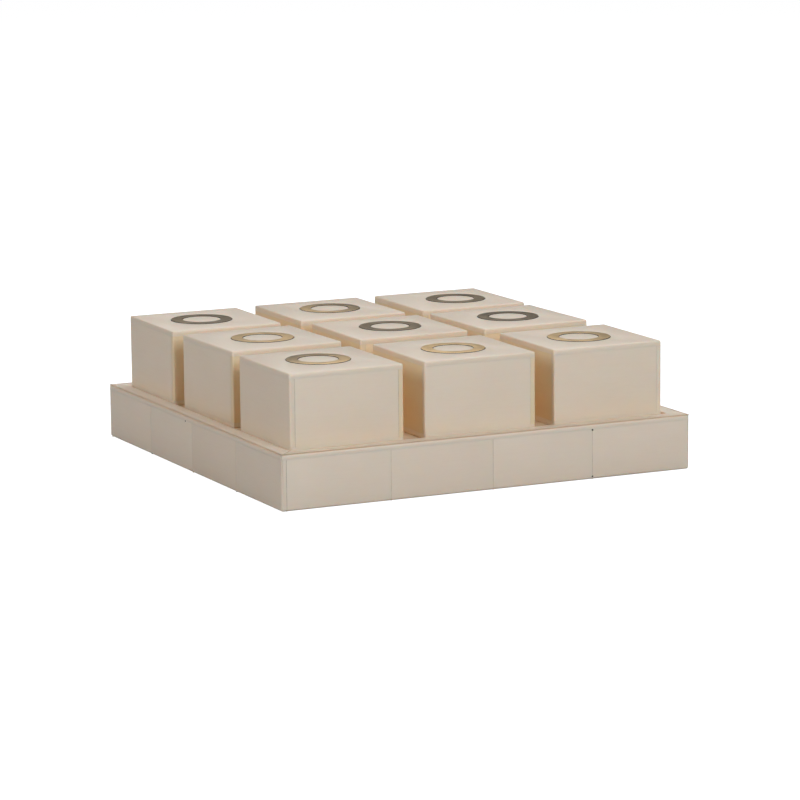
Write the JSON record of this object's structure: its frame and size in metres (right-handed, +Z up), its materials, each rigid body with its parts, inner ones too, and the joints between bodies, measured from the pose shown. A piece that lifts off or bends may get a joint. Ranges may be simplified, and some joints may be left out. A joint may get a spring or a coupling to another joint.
{
  "type": "tic tac toe set",
  "caption": "Square bone-clad tray with a shallow recess that holds a grid of loose rectangular blocks, each with a brass ring let into its top.",
  "frame": {"origin": "on the surface that the tray stands on, under the middle of the tray", "axes": "+Z up; +X along the front edge to the right; +Y from the front edge to the back"},
  "size_m": [0.254, 0.254, 0.074],
  "materials": {
    "tray_bone": "satin polished bone",
    "block_bone": "satin polished bone",
    "brass": "brushed, lightly tarnished",
    "core_wood": "unfinished board",
    "felt": "pressed felt"
  },
  "bodies": {
    "tray": {"felt": "felt", "core_board": "core_wood", "front_tiles": "tray_bone", "right_tiles": "tray_bone", "back_tiles": "tray_bone", "left_tiles": "tray_bone", "front_rim": "tray_bone", "right_rim": "tray_bone", "back_rim": "tray_bone", "left_rim": "tray_bone", "floor_tiles": "tray_bone"},
    "front_left_block": {"front_left_core": "core_wood", "front_left_walls": "block_bone", "front_left_faces": "block_bone", "front_left_ring": "brass", "front_left_cross": "brass"},
    "front_centre_block": {"front_centre_core": "core_wood", "front_centre_walls": "block_bone", "front_centre_faces": "block_bone", "front_centre_ring": "brass", "front_centre_cross": "brass"},
    "front_right_block": {"front_right_core": "core_wood", "front_right_walls": "block_bone", "front_right_faces": "block_bone", "front_right_ring": "brass", "front_right_cross": "brass"},
    "middle_left_block": {"middle_left_core": "core_wood", "middle_left_walls": "block_bone", "middle_left_faces": "block_bone", "middle_left_ring": "brass", "middle_left_cross": "brass"},
    "middle_centre_block": {"middle_centre_core": "core_wood", "middle_centre_walls": "block_bone", "middle_centre_faces": "block_bone", "middle_centre_ring": "brass", "middle_centre_cross": "brass"},
    "middle_right_block": {"middle_right_core": "core_wood", "middle_right_walls": "block_bone", "middle_right_faces": "block_bone", "middle_right_ring": "brass", "middle_right_cross": "brass"},
    "back_left_block": {"back_left_core": "core_wood", "back_left_walls": "block_bone", "back_left_faces": "block_bone", "back_left_ring": "brass", "back_left_cross": "brass"},
    "back_centre_block": {"back_centre_core": "core_wood", "back_centre_walls": "block_bone", "back_centre_faces": "block_bone", "back_centre_ring": "brass", "back_centre_cross": "brass"},
    "back_right_block": {"back_right_core": "core_wood", "back_right_walls": "block_bone", "back_right_faces": "block_bone", "back_right_ring": "brass", "back_right_cross": "brass"}
  },
  "joints": [
    {"name": "front_left_lift", "type": "slide", "parent": "tray", "child": "front_left_block", "axis": [0, 0, 1], "range_m": [0, 0.06]},
    {"name": "front_centre_lift", "type": "slide", "parent": "tray", "child": "front_centre_block", "axis": [0, 0, 1], "range_m": [0, 0.06]},
    {"name": "front_right_lift", "type": "slide", "parent": "tray", "child": "front_right_block", "axis": [0, 0, 1], "range_m": [0, 0.06]},
    {"name": "middle_left_lift", "type": "slide", "parent": "tray", "child": "middle_left_block", "axis": [0, 0, 1], "range_m": [0, 0.06]},
    {"name": "middle_centre_lift", "type": "slide", "parent": "tray", "child": "middle_centre_block", "axis": [0, 0, 1], "range_m": [0, 0.06]},
    {"name": "middle_right_lift", "type": "slide", "parent": "tray", "child": "middle_right_block", "axis": [0, 0, 1], "range_m": [0, 0.06]},
    {"name": "back_left_lift", "type": "slide", "parent": "tray", "child": "back_left_block", "axis": [0, 0, 1], "range_m": [0, 0.06]},
    {"name": "back_centre_lift", "type": "slide", "parent": "tray", "child": "back_centre_block", "axis": [0, 0, 1], "range_m": [0, 0.06]},
    {"name": "back_right_lift", "type": "slide", "parent": "tray", "child": "back_right_block", "axis": [0, 0, 1], "range_m": [0, 0.06]}
  ]
}
